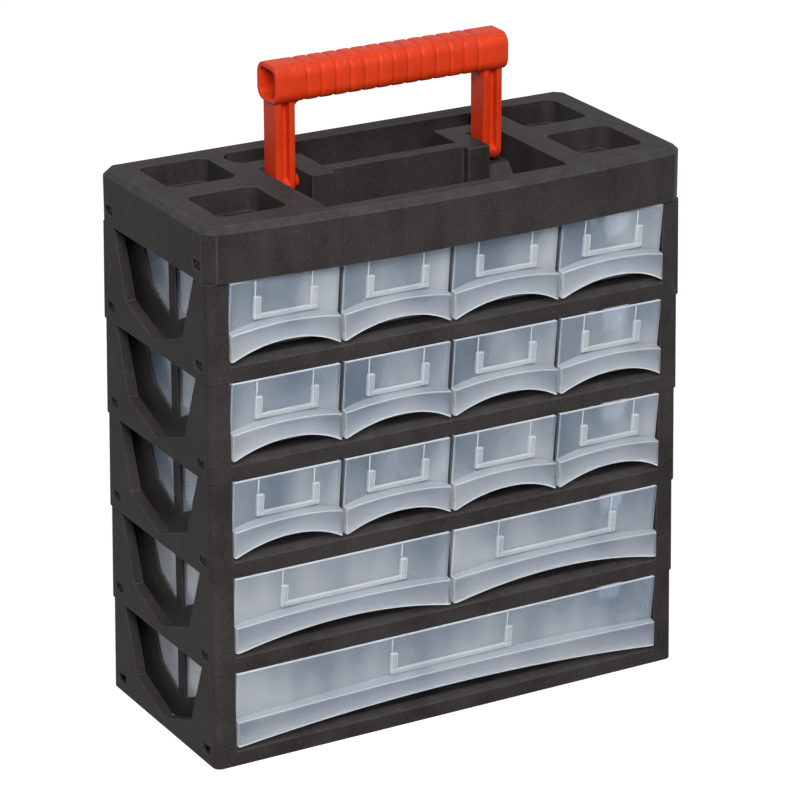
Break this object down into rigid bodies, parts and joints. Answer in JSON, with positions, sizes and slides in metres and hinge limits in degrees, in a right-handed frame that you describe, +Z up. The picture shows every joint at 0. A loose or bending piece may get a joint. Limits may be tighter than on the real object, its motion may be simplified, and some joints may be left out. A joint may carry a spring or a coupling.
{
  "type": "tool storage caddy",
  "caption": "Upright carry cabinet of stacked drawer frames with see-through sliding drawers, a compartmented top tray and a fold-down carry handle.",
  "frame": {"origin": "under the middle of the whole object, on the floor", "axes": "+X to the right seen from the front, -Y to the front where the drawers open, +Z up"},
  "size_m": [0.303, 0.1414, 0.3788],
  "materials": {
    "frame_plastic": "matt moulded, warm black",
    "handle_plastic": "satin moulded, red orange",
    "drawer_plastic": "frosted see-through"
  },
  "bodies": {
    "frame_stack": {"drawer_frame_1": "frame_plastic", "drawer_frame_2": "frame_plastic", "drawer_frame_3": "frame_plastic", "drawer_frame_4": "frame_plastic", "drawer_frame_5": "frame_plastic", "top_tray": "frame_plastic"},
    "handle": {"carry_handle": "handle_plastic"},
    "small_drawer_1_1": {"small_drawer_1_1": "drawer_plastic"},
    "small_drawer_1_2": {"small_drawer_1_2": "drawer_plastic"},
    "small_drawer_1_3": {"small_drawer_1_3": "drawer_plastic"},
    "small_drawer_1_4": {"small_drawer_1_4": "drawer_plastic"},
    "small_drawer_2_1": {"small_drawer_2_1": "drawer_plastic"},
    "small_drawer_2_2": {"small_drawer_2_2": "drawer_plastic"},
    "small_drawer_2_3": {"small_drawer_2_3": "drawer_plastic"},
    "small_drawer_2_4": {"small_drawer_2_4": "drawer_plastic"},
    "small_drawer_3_1": {"small_drawer_3_1": "drawer_plastic"},
    "small_drawer_3_2": {"small_drawer_3_2": "drawer_plastic"},
    "small_drawer_3_3": {"small_drawer_3_3": "drawer_plastic"},
    "small_drawer_3_4": {"small_drawer_3_4": "drawer_plastic"},
    "medium_drawer_4_1": {"medium_drawer_4_1": "drawer_plastic"},
    "medium_drawer_4_2": {"medium_drawer_4_2": "drawer_plastic"},
    "wide_drawer_5": {"wide_drawer_5": "drawer_plastic"}
  },
  "joints": [
    {"name": "handle_fold", "type": "hinge", "parent": "frame_stack", "child": "handle", "pos_m": [0, 0.01475, 0.3098], "axis": [1, 0, 0], "range_deg": [0, 90]},
    {"name": "slide_small_drawer_1_1", "type": "slide", "parent": "frame_stack", "child": "small_drawer_1_1", "axis": [0, -1, 0], "range_m": [0, 0.1]},
    {"name": "slide_small_drawer_1_2", "type": "slide", "parent": "frame_stack", "child": "small_drawer_1_2", "axis": [0, -1, 0], "range_m": [0, 0.1]},
    {"name": "slide_small_drawer_1_3", "type": "slide", "parent": "frame_stack", "child": "small_drawer_1_3", "axis": [0, -1, 0], "range_m": [0, 0.1]},
    {"name": "slide_small_drawer_1_4", "type": "slide", "parent": "frame_stack", "child": "small_drawer_1_4", "axis": [0, -1, 0], "range_m": [0, 0.1]},
    {"name": "slide_small_drawer_2_1", "type": "slide", "parent": "frame_stack", "child": "small_drawer_2_1", "axis": [0, -1, 0], "range_m": [0, 0.1]},
    {"name": "slide_small_drawer_2_2", "type": "slide", "parent": "frame_stack", "child": "small_drawer_2_2", "axis": [0, -1, 0], "range_m": [0, 0.1]},
    {"name": "slide_small_drawer_2_3", "type": "slide", "parent": "frame_stack", "child": "small_drawer_2_3", "axis": [0, -1, 0], "range_m": [0, 0.1]},
    {"name": "slide_small_drawer_2_4", "type": "slide", "parent": "frame_stack", "child": "small_drawer_2_4", "axis": [0, -1, 0], "range_m": [0, 0.1]},
    {"name": "slide_small_drawer_3_1", "type": "slide", "parent": "frame_stack", "child": "small_drawer_3_1", "axis": [0, -1, 0], "range_m": [0, 0.1]},
    {"name": "slide_small_drawer_3_2", "type": "slide", "parent": "frame_stack", "child": "small_drawer_3_2", "axis": [0, -1, 0], "range_m": [0, 0.1]},
    {"name": "slide_small_drawer_3_3", "type": "slide", "parent": "frame_stack", "child": "small_drawer_3_3", "axis": [0, -1, 0], "range_m": [0, 0.1]},
    {"name": "slide_small_drawer_3_4", "type": "slide", "parent": "frame_stack", "child": "small_drawer_3_4", "axis": [0, -1, 0], "range_m": [0, 0.1]},
    {"name": "slide_medium_drawer_4_1", "type": "slide", "parent": "frame_stack", "child": "medium_drawer_4_1", "axis": [0, -1, 0], "range_m": [0, 0.1]},
    {"name": "slide_medium_drawer_4_2", "type": "slide", "parent": "frame_stack", "child": "medium_drawer_4_2", "axis": [0, -1, 0], "range_m": [0, 0.1]},
    {"name": "slide_wide_drawer_5", "type": "slide", "parent": "frame_stack", "child": "wide_drawer_5", "axis": [0, -1, 0], "range_m": [0, 0.1]}
  ]
}
